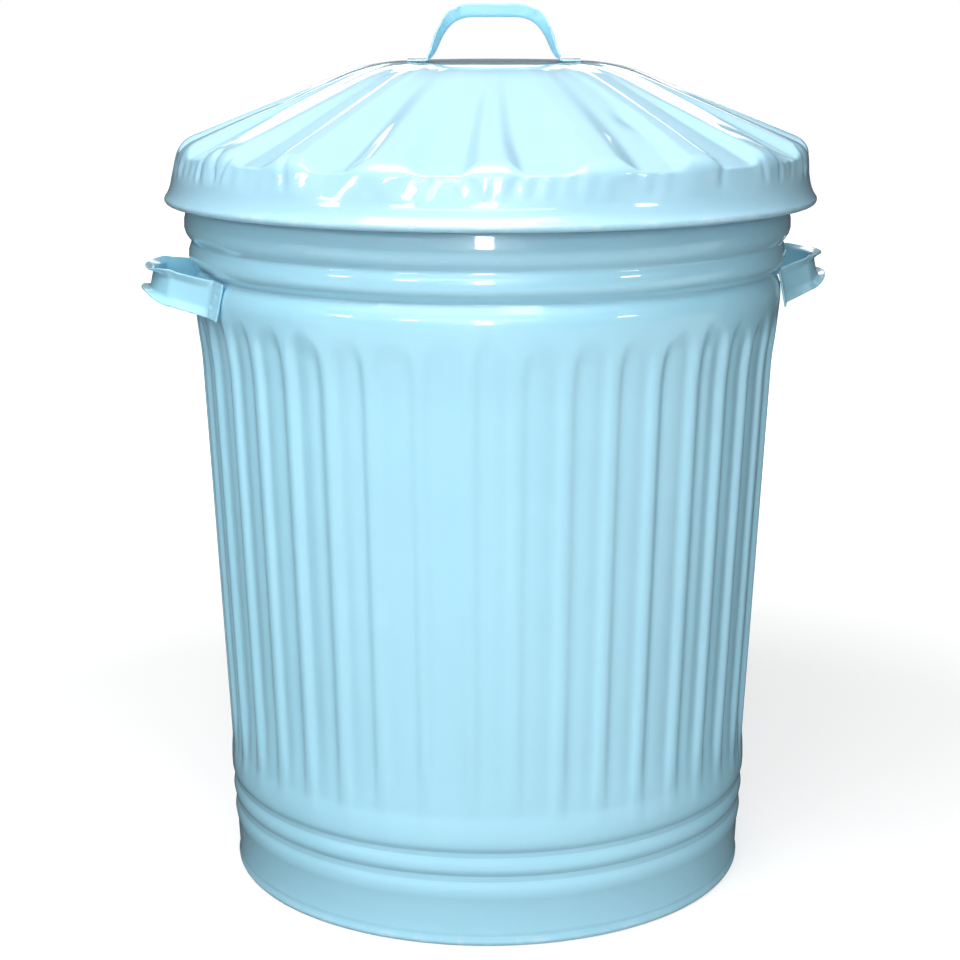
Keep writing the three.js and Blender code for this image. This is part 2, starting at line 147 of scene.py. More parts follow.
class LidSizes(bpy.types.PropertyGroup):
    """The lid. Heights are above the middle of its rolled edge."""

    edge_radius: length("Edge radius", "Outside of the rolled edge", 254.2)
    edge_height: length("Edge height", "Floor to the middle of the rolled edge", 542.24)
    skirt_foot: length("Skirt foot", "Where the skirt flares out to the edge", 16)
    skirt_radius: length("Skirt radius", "Outside of the skirt at its foot", 248.3)
    shoulder_radius: length("Shoulder radius", "Outside of the skirt at its top", 245.6)
    shoulder_height: length("Shoulder height", "Bend between skirt and cone", 42.0)
    slope: angle("Slope", "How steeply the cone rises", 22)
    top_radius: length("Top radius", "Flat top", 95.4)
    top_dish: length("Top dish", "How far the flat top sags", 0.8)
    turn: angle("Turn", "How far the lid is turned against the side handles", -10.5)
    shift: length("Shift", "How far the loose lid sits off the can's axis, along its handle", 2.4)
    drift: length("Drift", "How far the cone leans along the handle", 2.6)
    flutes: whole("Flutes", "Flutes round the lid", 20)
    flute_depth: length("Flute depth", "Depth of a hollow at the shoulder", 8.3)
    ridge_bend: length("Ridge bend", "How far a ridge's bend reaches", 10.5)
    hollow_bend: length("Hollow bend", "How far a hollow's bend reaches", 1.4)


class StrapSizes(bpy.types.PropertyGroup):
    """The handles: straps whose long edges are turned up into lips, away from the hand."""

    thickness: length("Strap", "Thickness of the strap", 1.5)
    width: length("Width", "Width at the flat, welded feet", 27)
    bend: length("Bend", "Strap that the bend between web and lip takes", 3.4)
    lip_turn: angle("Lip turn", "How far the lips are turned up in a grip", 80)
    side_drop: length("Side drop", "Rim to the middle of the side handles' feet", 103.5)
    side_seat: length("Side seat", "Radius of the wall that the feet hug", 231.75)
    side_tilt: angle("Side tilt", "How far the side grips are tilted up", 12)
    side_span: length("Side span", "Between the ends of a side handle's feet", 169)
    side_foot: length("Side foot", "Length of a foot", 17)
    side_grip: length("Side grip", "Between the two bends", 87)
    side_reach: length("Side reach", "Taper of the can to the strap at the bends", 24)
    right_bow: length("Right bow", "Extra reach in the middle of the right grip", 16.4)
    left_bow: length("Left bow", "The same of the left grip, which reaches less far", 11)
    side_lip: length("Side lip", "Width of the side handles' lips", 6.4)
    lid_span: length("Lid span", "Between the ends of the lid handle's feet", 134)
    lid_rise: length("Lid rise", "How far the grip stands over the feet", 33.3)
    lid_lip: length("Lid lip", "Width of the lid handle's lips", 8.7)
    lid_shift: length("Lid shift", "How far the handle is welded off the middle", 2.6)


class FinishLooks(bpy.types.PropertyGroup):
    """Colours and gloss."""

    can: colour("Can paint", "Gloss paint of the can", (0.37, 0.72, 0.885))
    lid: colour("Lid paint", "Gloss paint of the lid", (0.39, 0.68, 0.835))
    handle: colour("Handle paint", "Gloss paint of the handles", (0.35, 0.70, 0.86))
    base: colour("Base paint", "Gloss paint of the base", (0.33, 0.69, 0.86))
    wire: colour("Wire", "Drawn steel wire", (0.45, 0.47, 0.49))
    gloss: share("Roughness", "Roughness of the paint", 0.38)
    coat: share("Coat", "Weight of the clear gloss over the paint", 0.9)


class StageLooks(bpy.types.PropertyGroup):
    """Lamps, floor and camera."""

    lens: number("Lens", "Focal length", 79.38, subtype="DISTANCE_CAMERA", unit="CAMERA")
    distance: length("Distance", "Camera to the can's axis, measured level", 1675)
    eye: length("Eye", "Camera above the floor", 695)
    heading: angle("Heading", "Camera's turn from straight in front", -10.5)
    down: angle("Down", "How far the camera looks down", 12.9)
    shift: number("Shift", "Sideways lens shift", -0.0078)
    ambient: number("Ambient", "Light from all round", 0.27)
    room: number("Room", "What gloss sees of the room", 0.05)
    floor: share("Floor", "How bright the floor glows near the object", 0.58)
    key: power("Key", "High soft lamp", 23)
    strip: power("Strip", "Wide lamp in front", 28)
    low_strip: power("Low strip", "Wide, thin, low lamp", 5)
    fill: power("Fill", "Soft lamp in front", 11)
    back: power("Back", "Soft lamp behind", 9)
    glint: power("Glints", "Each small lamp", 3)


# ---- Numbers ----

def smooth(t):
    """Rises from 0 to 1 as t does, level at both ends: t squared times (3 - 2 t)."""
    t = np.clip(t, 0.0, 1.0)
    return t * t * (3 - 2 * t)


def hump(x, middle, half):
    """1 at the middle, falling smoothly to 0 at a half width from it."""
    return smooth(1 - np.abs(x - middle) / half)


def turn_from(a, b):
    """The angle from b to a, between minus and plus half a turn."""
    return (a - b + math.pi) % TURN - math.pi


def blur(values, step, spread):
    """A line of values averaged with a bell curve, so that creases get a small radius."""
    reach = max(1, int(round(3 * spread / step)))
    bell = np.exp(-0.5 * (np.arange(-reach, reach + 1) * step / spread) ** 2)
    padded = np.pad(values, reach, mode="edge")
    return np.convolve(padded, bell / bell.sum(), mode="valid")


def uneven(draw, lowest, highest, angles, heights=0.0, waves=7):
    """Smooth unevenness between about -1 and 1: a sum of cosine waves round the axis, with from
    lowest to highest waves a turn, each of which also leans with height."""
    total = 0.0
    for _ in range(waves):
        count = int(draw.integers(lowest, highest + 1))
        start = draw.uniform(0, TURN)
        lean = draw.uniform(-9, 9)
        total = total + np.cos(count * angles + start + lean * heights)
    return total / math.sqrt(waves * 2)


def spread_rows(places, weight, count):
    """Picks count places so that equal shares of the weight lie between them."""
    steps = 0.5 * (weight[1:] + weight[:-1]) * np.diff(places)
    run = np.concatenate([[0.0], np.cumsum(steps)])
    return np.interp(np.linspace(0, run[-1], count), run, places)


def arc(centre_r, centre_z, radius, start, stop, count):
    """Points of a circle from the start angle to the stop angle, both in degrees."""
    a = np.radians(np.linspace(start, stop, count))
    return centre_r + radius * np.cos(a), centre_z + radius * np.sin(a)


def corner(a, b, c, t):
    """A rounded corner from a to c that would be sharp at b: (1-t)^2 a + 2t(1-t) b + t^2 c."""
    return (1 - t) ** 2 * a + 2 * t * (1 - t) * b + t ** 2 * c


def turned_to(points, turn, rise=0.0):
    """Points turned about the Z axis, and lifted."""
    c, s = math.cos(turn), math.sin(turn)
    x, y, z = np.moveaxis(points, -1, 0)
    return np.stack([x * c - y * s, x * s + y * c, z + rise], axis=-1)


# ---- Meshes ----

NO_TRIS = np.zeros((0, 3), dtype=np.int64)


def facing(rows):
    """The unit normal of a surface that is a grid of points, rows by places round the axis: the
    way round crossed with the way along."""
    along = np.gradient(rows, axis=0)
    around = np.roll(rows, -1, axis=1) - np.roll(rows, 1, axis=1)
    normal = np.cross(around, along)
    return normal / np.maximum(np.linalg.norm(normal, axis=2, keepdims=True), 1e-12)


def spun(r, z, angles):
    """The point at radius r and height z for every angle: (r cos a, r sin a, z)."""
    r, z, angles = np.broadcast_arrays(r, z, angles)
    return np.stack([r * np.cos(angles), r * np.sin(angles), z], axis=2)


def ring_faces(rows, columns, joined=False):
    """Four-sided faces between neighbouring rings of a grid, and from the last to the first if
    joined: each point, the next one round, and those two on the next ring, the other way."""
    rings = np.arange(rows * columns).reshape(rows, columns)
    low, high = (rings, np.roll(rings, -1, axis=0)) if joined else (rings[:-1], rings[1:])
    faces = [low, np.roll(low, -1, axis=1), np.roll(high, -1, axis=1), high]
    return np.stack(faces, axis=2).reshape(-1, 4)


def faces_inwards(points, quads, tris):
    """Whether the space inside, the sum of a . (b x c) over the triangles, comes out negative."""
    solid = np.concatenate([quads[:, [0, 1, 2]], quads[:, [0, 2, 3]], tris])
    a, b, c = points[solid.T]
    return np.sum(a * np.cross(b, c)) < 0


def add_object(name, data):
    """A new object at the origin of the scene."""
    made = bpy.data.objects.new(name, data)
    bpy.context.scene.collection.objects.link(made)
    return made


def add_piece(name, points, quads, worn, material, slot, body, replaced, tris=NO_TRIS):
    """Puts a closed surface into a new object, with its faces outwards."""
    points = np.asarray(points, dtype=np.float64).reshape(-1, 3)
    if faces_inwards(points, quads, tris):
        quads, tris = quads[:, ::-1], tris[:, ::-1]
    corners = np.concatenate([quads.ravel(), tris.ravel()]).astype(np.int32)
    totals = np.repeat([4, 3], [len(quads), len(tris)]).astype(np.int32)
    starts = (np.cumsum(totals) - totals).astype(np.int32)
    mesh = bpy.data.meshes.new(name)
    mesh.vertices.add(len(points))
    mesh.vertices.foreach_set("co", points.ravel().astype(np.float32))
    mesh.loops.add(len(corners))
    mesh.loops.foreach_set("vertex_index", corners)
    mesh.polygons.add(len(totals))
    mesh.polygons.foreach_set("loop_start", starts)
    mesh.polygons.foreach_set("loop_total", totals)
    mesh.polygons.foreach_set("use_smooth", np.ones(len(totals), dtype=bool))
    wear = mesh.attributes.new("worn", "FLOAT", "POINT")
    wear.data.foreach_set("value", np.asarray(worn, dtype=np.float32).ravel())
    mesh.update(calc_edges=True)
    if mesh.validate():
        raise RuntimeError(name + " has faulty faces")
    mesh.materials.append(material)
    piece = add_object(name, mesh)
    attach(piece, body)
    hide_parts(replaced)


def back_face(outer, worn, thickness, skip):
    """A sheet's inner face, a thickness behind the outer one along its normal, from the last row to
    the first. It keeps every skip-th row, and wears half as much."""
    inner = outer - thickness * facing(outer)
    kept = np.unique(np.append(np.arange(0, len(outer), skip), len(outer) - 1))[::-1]
    return inner[kept], 0.5 * worn[kept]


def open_sheet(name, outer, worn, thickness, skip, *looks):
    """A sheet with two free edges, closed like a tube: out along one face and back on the other."""
    inner, inner_worn = back_face(outer, worn, thickness, skip)
    rows = np.concatenate([outer, inner])
    quads = ring_faces(*rows.shape[:2], joined=True)
    add_piece(name, rows, quads, np.concatenate([worn, inner_worn]), *looks)


def capped_sheet(name, outer, worn, thickness, skip, *looks):
    """A sheet with one free edge that closes over the axis: each face ends in a pole."""
    inner, inner_worn = back_face(outer, worn, thickness, skip)
    rows = np.concatenate([inner, outer])
    columns = rows.shape[1]
    first = np.arange(columns)
    last = first + (len(rows) - 1) * columns
    pole = np.full(columns, len(rows) * columns)
    tris = np.concatenate([np.stack([pole, np.roll(first, -1), first], axis=1),
                           np.stack([pole + 1, last, np.roll(last, -1)], axis=1)])
    points = np.concatenate([rows.reshape(-1, 3), rows[[0, -1]].mean(axis=1)])
    wear = np.concatenate([inner_worn.ravel(), worn.ravel(), [0.0, 0.0]])
    add_piece(name, points, ring_faces(len(rows), columns), wear, *looks, tris=tris)


# ---- Can and base ----

CREST_POWER = 2.2  # How full a crest is and how narrow a crease.
RIB_POWER = 1.7  # The same above a foot rib's low crest, a longer slope.
FOOT_STAND = 0.3 * MM  # How far the band under the ribs stands out,
FOOT_BLEND = 15 * MM  # and over what height it comes to that.
NECK_FOOT_STAND = 4.2 * MM
NECK_TOP_STAND = 1.6 * MM
RIM_OUT = 1.0 * MM  # Top of the neck out to the middle of the rim's roll.
OUTLINE_STEP = 0.25 * MM
CREASE_BLUR = 0.7 * MM
WALL_ROWS = 92
PLAIN_ROW, ARCH_ROW, RUN_OUT_ROW = 22 * MM, 2.3 * MM, 8 * MM  # How far apart rows lie at most.
BEND_ROWS, MOST_BEND = 1.35, 420  # Rows added for a bend, and where that stops growing.
RIDGE_HALF, RIDGE_FLANK = 0.04, 0.2  # A ridge's flat top and its flank, in flutes.
CROWN_PLACE, CROWN_HALF = 0.52, 0.26  # Where a hollow's low swelling lies, and its half width.
WALL_PLACES = (0.035, 0.09, 0.14, 0.19, 0.25, 0.34, 0.44)  # Columns on each side of a ridge.
FLUTE_JITTER = 0.035  # How far a flute may lie off its place, in flutes.
DEPTHS = (0.84, 1.1)  # The shallowest and the deepest flute, of the flute depth.
ARCH_RISE = 3.5  # How far an arch may lie off its height, in millimetres.
ARCH_DROP = 15 * MM  # How much lower an arch is at its sides,
ARCH_SOFT = 23 * MM  # and the height that a hollow takes to deepen under it.
RUN_OUT_RISE = 10 * MM  # The same two at a hollow's foot.
RUN_OUT_SOFT = 62 * MM
FRONT = math.radians(-102)  # The way the can's plain, least fluted side faces,
FRONT_HALF = math.radians(48)  # and how far round it reaches.
WANDER = 0.35 * MM  # How uneven the wall is.
PAN_DIP = 0.5 * MM  # How uneven the base pan is.


def roll_radius(sheet):
    """Outside of an edge that is rolled round its wire."""
    return sheet.wire / 2 + sheet.gap + sheet.thickness


def taper(can, z):
    """Outside of the plain cone at a height."""
    return can.foot_radius + (can.mouth_radius - can.foot_radius) * z / can.height


def rim_radius(sheet, can):
    """The axis to the middle of the rim's wire."""
    neck_top = taper(can, can.height - can.neck_drop) + NECK_TOP_STAND
    return neck_top - sheet.thickness / 2 + RIM_OUT


def wall_stand(can, z):
    """How far the wall stands out from the plain taper at each height. Between a crease and a crest
    it is the crest's stand less the whole rise times (share of the way to the crease)^power."""
    rib, pitch = can.rib_height, can.rib_pitch
    lower_bead, half_bead = can.bead_height - can.bead_pitch, 0.5 * can.bead_pitch
    ribs = [(rib + k * pitch - can.rib_sag, can.rib_stand) for k in range(3)]
    foot_creases = [(rib - 0.55 * pitch, FOOT_STAND), (rib + 0.5 * pitch, -can.rib_crease),
                    (rib + 1.5 * pitch, -can.rib_crease), (rib + 3.0 * pitch, 0.0)]
    swells = [(can.shoulder_height, can.shoulder_stand), (lower_bead, can.lower_stand),
              (can.bead_height, can.upper_stand)]
    neck_foot = can.bead_height + half_bead
    creases = [(can.shoulder_foot, 0.0), (lower_bead - half_bead, -can.lower_crease),
               (lower_bead + half_bead, can.upper_crease), (neck_foot, NECK_FOOT_STAND)]
    stand = np.where(z < foot_creases[0][0], FOOT_STAND * smooth(z / FOOT_BLEND), 0.0)
    for ends, crests, power_above in ((foot_creases, ribs, RIB_POWER),
                                      (creases, swells, CREST_POWER)):
        for (z0, s0), (zc, sc), (z1, s1) in zip(ends, crests, ends[1:]):
            below = sc - (sc - s0) * np.abs((z - zc) / (zc - z0)) ** CREST_POWER
            above = sc - (sc - s1) * np.abs((z - zc) / (z1 - zc)) ** power_above
            stand = np.where((z >= z0) & (z < zc), below, stand)
            stand = np.where((z >= zc) & (z < z1), above, stand)
    along = (z - neck_foot) / (can.height - can.neck_drop - neck_foot)
    neck = NECK_FOOT_STAND + (NECK_TOP_STAND - NECK_FOOT_STAND) * np.clip(along, 0, 1)
    return np.where(z >= neck_foot, neck, stand)


def can_outline(sheet, can):
    """Radius and height of the wall's outer face, from the inside of the rolled foot up to the
    outside of the rolled rim. Its rows lie closest in the bends, and closer than on the plain wall
    where the hollows start and run out."""
    outside = roll_radius(sheet)
    z = np.arange(2 * outside + 2 * MM, can.height - can.neck_drop, OUTLINE_STEP)
    stand = blur(wall_stand(can, z), OUTLINE_STEP, CREASE_BLUR)
    bend = np.abs(np.gradient(np.gradient(stand, OUTLINE_STEP), OUTLINE_STEP))
    weight = 1 / PLAIN_ROW + np.minimum(bend, MOST_BEND) * BEND_ROWS
    weight += hump(z, can.flute_top - 10 * MM, 25 * MM) / ARCH_ROW
    weight += hump(z, can.flute_bottom + 22 * MM, 36 * MM) / RUN_OUT_ROW
    zs = spread_rows(z, weight, WALL_ROWS)
    rs = taper(can, zs) + np.interp(zs, z, stand)
    foot_r, foot_z = arc(can.foot_radius - can.foot_tuck, outside, outside, 157.5, 382.5, 13)
    rim_r, rim_z = arc(rim_radius(sheet, can), can.height - outside, outside - sheet.thickness,
                       202.5, -22.5, 11)
    return np.concatenate([foot_r, rs, rim_r]), np.concatenate([foot_z, zs, rim_z])


def can_flute(can, t):
    """How deep the wall lies across one flute, from 0 on the ridge (t = 0) to 1 in its deepest
    parts: a narrow ridge, and a hollow with a low swelling along its middle (t = half)."""
    ridge = 1 - smooth((np.abs(t) - RIDGE_HALF) / RIDGE_FLANK)
    return 1 - ridge - can.flute_crown * hump(np.abs(t), CROWN_PLACE, CROWN_HALF)


def can_surface(sheet, can):
    """The wall's outer face. Rows follow the outline; columns lie closer on the ridges' flanks. A
    hollow sinks the face along its normal, ends in an arch at its top and runs out at its foot."""
    draw = np.random.default_rng(11)
    r, z = can_outline(sheet, can)
    places = np.concatenate([-np.array(WALL_PLACES)[::-1], WALL_PLACES])
    jitter = draw.uniform(-FLUTE_JITTER, FLUTE_JITTER, can.flutes)
    depth = draw.uniform(*DEPTHS, can.flutes)
    rise = draw.uniform(-ARCH_RISE, ARCH_RISE, can.flutes) * MM
    which = np.repeat(np.arange(can.flutes), len(places))  # The flute that each column is on.
    t = np.tile(places, can.flutes)
    angles = (which + t + jitter[which]) * (TURN / can.flutes) + can.flute_turn
    surface = spun(r[:, None], z[:, None], angles)
    height = z[:, None]
    from_middle = (0.5 - np.abs(t)) / 0.5
    arch = can.flute_top + rise[which] - ARCH_DROP * from_middle ** 2
    run_out = can.flute_bottom + RUN_OUT_RISE * from_middle ** 2
    in_front = hump(turn_from(angles, FRONT), 0, FRONT_HALF)
    hollow = can_flute(can, t) * depth[which] * (1 - (1 - can.flute_front) * in_front)
    hollow = hollow * smooth((arch - height) / ARCH_SOFT)
    hollow = hollow * smooth((height - run_out) / RUN_OUT_SOFT)
    # The wall's unevenness dies away towards the rolled foot and the neck.
    plain = smooth((height - 12 * MM) / (30 * MM)) * smooth((540 * MM - height) / (60 * MM))
    wander = uneven(draw, 2, 9, angles, height) * WANDER
    sink = can.flute_depth * hollow + wander * plain
    surface = surface - sink[:, :, None] * facing(surface)
    edges = np.maximum(hump(z, 3 * MM, 7 * MM), hump(z, can.height - 2 * MM, 7 * MM))
    return surface, np.broadcast_to(edges[:, None], surface.shape[:2])


def base_surface(sheet, can, base):
    """The pan's upper face: up inside the foot, round the corner, level to the step, down it along
    a smooth rise, and level to the middle. The whole of it dips and swells a little."""
    edge = taper(can, 0) - sheet.thickness - sheet.gap
    level, top, half = edge - base.corner, base.height, 6 * MM
    bend_r, bend_z = arc(level, top - base.corner, base.corner, 0, 90, 9)
    t = np.linspace(0, 1, 13)[1:]
    parts = (
        (np.full(5, edge), np.linspace(2 * roll_radius(sheet) + sheet.gap, top - base.corner, 5)),
        (bend_r[1:], bend_z[1:]),
        (np.linspace(level, base.step_radius + half, 8)[1:], np.full(7, top)),
        (base.step_radius + (1 - 2 * t) * half, top - base.step * smooth(t)),
        (np.linspace(base.step_radius - half, 4 * MM, 14)[1:], np.full(13, top - base.step)),
    )
    r, z = (np.concatenate(line)[:, None] for line in zip(*parts))
    angles = np.linspace(0, TURN, 241)[:-1]
    surface = spun(r, z, angles)
    dip = uneven(np.random.default_rng(5), 2, 6, angles, r) * smooth(r / (60 * MM))
    surface[:, :, 2] += PAN_DIP * (dip - 1) * smooth((edge - r) / (40 * MM))
    return surface


# ---- Lid ----

LID_PLACES = 32  # Columns for each flute.
LID_JITTER = 0.05  # How far a ridge may lie off its place, in flutes.
LID_DEPTHS, LID_WIDTHS = (0.82, 1.03), (0.8, 1.25)  # Least and most, of the usual.
LID_RIDGE_HALF, LID_RIDGE_FLANK = 0.09, 0.26  # As the can's.
SKIRT_SINK = 0.12  # How far a hollow draws the skirt's top in, of its depth.
FLARE_OUT, FLARE_UP = 1.5 * MM, 4.4 * MM  # Where the flare would be sharp, from skirt and edge.
BROW_OUT, BROW_IN = 24 * MM, 23 * MM  # Where the flat top's rounded edge starts and ends.
CREASED_FROM = 236 * MM  # The skirt's creases fade out inside this radius.

# Dents in the cone: degrees from the front, radius in millimetres, half sizes round in degrees and
# along in millimetres, depth in millimetres.
CONE_DENTS = (
    (14, 190, 5.0, 16, 1.3), (31, 176, 4.5, 20, 1.8), (-9, 150, 9.0, 26, 0.8),
    (58, 205, 6.0, 14, 1.2), (118, 180, 9.0, 22, 1.6), (-140, 200, 8.0, 20, 1.4),
    (-75, 165, 8.0, 22, 1.0),
)
# Upright creases in the skirt: degrees from the front, half width in degrees, depth in millimetres.
SKIRT_CREASES = (
    (-59.5, 1.1, 2.2), (-54.5, 1.2, 2.0), (-51.5, 0.9, 1.2), (-36.5, 1.3, 1.2), (-27.5, 2.0, 0.9),
    (41.5, 1.4, 0.9), (52.0, 1.3, 1.0), (57.5, 1.2, 1.3), (63.0, 1.5, 1.1), (71.0, 1.4, 1.2),
    (104, 1.5, 1.3), (148, 1.6, 1.5), (-118, 1.4, 1.4), (-163, 1.7, 1.1),
)


def lid_flutes(lid, draw):
    """The angle of every column, and how deep the cone lies there: 0 on a rounded ridge, about 1 in
    the hollow. Each ridge has its own place and width, and each hollow its own depth."""
    columns = LID_PLACES * lid.flutes
    plain = np.arange(columns) / columns * TURN
    pitch = TURN / lid.flutes
    off = draw.uniform(-LID_JITTER, LID_JITTER, lid.flutes)
    off = np.interp(plain, np.arange(lid.flutes + 1) * pitch, np.resize(off, lid.flutes + 1))
    position = plain / pitch
    ridge = np.round(position).astype(int)
    deep = draw.uniform(*LID_DEPTHS, lid.flutes)[position.astype(int) % lid.flutes]
    wide = draw.uniform(*LID_WIDTHS, lid.flutes)[ridge % lid.flutes]
    across = np.abs((position - ridge) / wide)
    return plain + off * pitch, smooth((across - LID_RIDGE_HALF) / LID_RIDGE_FLANK) * deep


def lid_top(lid):
    """The height of the flat top."""
    return lid.shoulder_height + (lid.shoulder_radius - lid.top_radius) * math.tan(lid.slope)


def lid_surface(sheet, lid):
    """The lid's outer face, a grid of rows by angles in the lid's own frame. Rolled edge, flare and
    nearly straight skirt are turned shapes. The cone's height at a radius r is
    shoulder height + (shoulder radius - r) tan(slope) - depth * hollow(angle) * fade(r),
    and its corner with the skirt is rounded, widely on a ridge and tightly in a hollow."""
    draw = np.random.default_rng(23)
    angles, hollow = lid_flutes(lid, draw)
    outside = roll_radius(sheet)
    edge_r, edge_z = arc(lid.edge_radius - outside, 0.0, outside, 202.5, 400, 13)

    # Flare: from the top of the rolled edge, in and up to the skirt's foot.
    s = np.linspace(0, 1, 8)[1:]
    flare_r = corner(edge_r[-1], lid.skirt_radius + FLARE_OUT, lid.skirt_radius, s)
    flare_z = corner(edge_z[-1], edge_z[-1] + FLARE_UP, lid.skirt_foot, s)

    # Skirt up to the bend, with soft upright ripples.
    rise = math.tan(lid.slope)
    sunk = lid.flute_depth * hollow
    on_ridge = (1 - hollow / hollow.max()) ** 1.5
    bend = lid.hollow_bend + (lid.ridge_bend - lid.hollow_bend) * on_ridge
    corner_r = lid.shoulder_radius - SKIRT_SINK * sunk
    corner_z = lid.shoulder_height - sunk + SKIRT_SINK * sunk * rise
    ripple = uneven(draw, 34, 110, angles, waves=9)
    ripple = ripple * (0.45 + 0.35 * uneven(draw, 2, 7, angles)) * MM
    s = np.linspace(0, 1, 16)[1:, None]
    skirt_z = lid.skirt_foot + (corner_z - bend - lid.skirt_foot) * s
    lean = (skirt_z - lid.skirt_foot) / (corner_z - lid.skirt_foot)
    skirt_r = lid.skirt_radius + (corner_r - lid.skirt_radius) * lean
    skirt_r = skirt_r + ripple * smooth(s * 1.6) * smooth((1.25 - s) * 2)

    # Cone, from the bend to the flat top. The hollows fade out to a twentieth of their depth.
    s = np.linspace(0, 1, 32)[:, None] ** 1.12
    cone_start = corner_r - bend
    cone_r = cone_start + (lid.top_radius + BROW_OUT - cone_start) * s
    share_out = (cone_r - lid.top_radius) / (lid.shoulder_radius - lid.top_radius)
    fade = 0.05 + 0.95 * smooth(np.clip(share_out, 0, 1) * 0.78 + 0.02) / smooth(0.8)
    cone_z = lid.shoulder_height + (lid.shoulder_radius - cone_r) * rise - sunk * fade

    # Bend between skirt and cone.
    t = np.linspace(0, 1, 13)[1:-1, None]
    bend_r = corner(skirt_r[-1], corner_r, cone_r[0], t)
    bend_z = corner(skirt_z[-1], corner_z, cone_z[0], t)

    # Rounded edge of the flat top, and the top itself.
    flat_start, top = lid.top_radius - BROW_IN, lid_top(lid)
    t = np.linspace(0, 1, 11)[1:-1, None]
    brow_r = corner(cone_r[-1], lid.top_radius, flat_start, t)
    brow_z = corner(cone_z[-1], top - 0.05 * sunk, top, t)
    flat_r = np.linspace(flat_start, 3 * MM, 16)
    flat_z = top - lid.top_dish * (1 - (flat_r / flat_start) ** 2)

    def grid(*parts):
        wide = [part if part.ndim == 2 else part[:, None] for part in parts]
        return np.concatenate([np.broadcast_to(part, (len(part), len(angles))) for part in wide])

    r = grid(edge_r, flare_r, skirt_r, bend_r, cone_r, brow_r, flat_r)
    z = grid(edge_z, flare_z, skirt_z, bend_z, cone_z, brow_z, flat_z)
    # The flutes wander a little sideways on their way up the cone, which leans along the handle.
    on_cone = smooth((lid.shoulder_radius - r) / (50 * MM))
    on_cone = on_cone * smooth((r - lid.top_radius) / (45 * MM))
    surface = spun(r, z, angles + 0.03 * uneven(draw, 3, 9, angles, r * 2) * on_cone)
    surface[:, :, 0] += lid.drift * smooth((z - lid.skirt_foot) / (30 * MM))
    surface = dented_lid(lid, surface, r, z, angles)
    worn = 0.5 * hump(z, corner_z, 7 * MM) * (1 - hollow)
    worn[:len(edge_z)] += hump(edge_z, 0.0, 6 * MM)[:, None]
    return surface, np.clip(worn, 0, 1)


def dented_lid(lid, surface, r, z, angles):
    """Soft dents on the cone and upright creases in the skirt, pressed in along the normal. Each is
    a smooth hump in angle times one in radius or height."""
    from_front = turn_from(angles, -math.pi / 2)
    sink = np.zeros(r.shape)
    for degrees, radius, half_turn, half_length, depth in CONE_DENTS:
        away = turn_from(from_front, math.radians(degrees))
        across = hump(away, 0, math.radians(half_turn))
        sink += depth * MM * across * hump(r, radius * MM, half_length * MM)
    up = z - lid.skirt_foot
    on_skirt = smooth(up / (8 * MM)) * smooth(up / (12 * MM))
    on_skirt = on_skirt * smooth((r - CREASED_FROM) / (6 * MM))
    for degrees, half_turn, depth in SKIRT_CREASES:
        away = turn_from(from_front, math.radians(degrees))
        away = away + 0.012 * np.sin(z / (7 * MM) + degrees)
        sink += depth * MM * hump(away, 0, math.radians(half_turn)) * on_skirt
    return surface - sink[:, :, None] * facing(surface)


# ---- Straps ----

# The lid handle's path: height and half length where a foot bends up, at two places on the leg and
# where it bends over to the grip, and the grip's half length, all in millimetres.
LID_HANDLE_PATH = ((0.0, 50.5), (5.7, 46), (21.4, 39), (30.0, 31))
LID_GRIP_HALF = 21
LID_LEG = 22 * MM  # Height at which the leg's lips go over to the grip's.


def rounded_path(half, radii, spacing):
    """A path through corner points and their mirror images, each rounded by a quadratic curve over
    the given tangent length, sampled evenly along its length. The last point of the half path is
    its middle if it lies on the mirror line."""
    shared = half[-1, 1] == 0
    back = slice(-2, None, -1) if shared else slice(None, None, -1)
    points = np.concatenate([half, half[back] * [1, -1]])
    radii = np.concatenate([radii, radii[back]])[1:-1, None] * MM
    way = np.diff(points, axis=0)
    way /= np.linalg.norm(way, axis=1, keepdims=True)
    here = points[1:-1]
    start, stop = here - way[:-1] * radii, here + way[1:] * radii
    t = np.linspace(0, 1, 9)[:, None]
    bends = corner(start[:, None], here[:, None], stop[:, None], t).reshape(-1, 2)
    line = np.concatenate([points[:1], bends, points[-1:]])
    run = np.concatenate([[0.0], np.cumsum(np.linalg.norm(np.diff(line, axis=0), axis=1))])
    at = np.linspace(0, run[-1], int(round(run[-1] / spacing)) + 1)
    return np.stack([np.interp(at, run, line[:, 0]), np.interp(at, run, line[:, 1])], axis=1), at


def strap_outline(strap, lip, turned):
    """The strap's cross-section at every station, as (out, across) of its middle line and of the
    unit normal there. Its direction turns from flat to the lip's angle over the bend: each point is
    the sum of the small steps (sin angle, cos angle) from the middle of the web."""
    half = strap.width / 2
    web = half - lip - strap.bend / 2
    s = np.concatenate([np.linspace(0, web, 9), web + strap.bend * np.linspace(0, 1, 7)[1:],
                        np.linspace(web + strap.bend, half, 6)[1:]])
    a = strap.lip_turn * turned[:, None] * np.clip((s - web) / strap.bend, 0, 1)
    middle = 0.5 * (a[:, 1:] + a[:, :-1])
    steps = np.stack([np.sin(middle), np.cos(middle)], axis=2) * np.diff(s)[:, None]
    line = np.concatenate([np.zeros((len(turned), 1, 2)), np.cumsum(steps, axis=1)], axis=1)
    normal = np.stack([np.cos(a), -np.sin(a)], axis=2)
    return [np.concatenate([side[:, :0:-1] * [1, -1], side], axis=1) for side in (line, normal)]


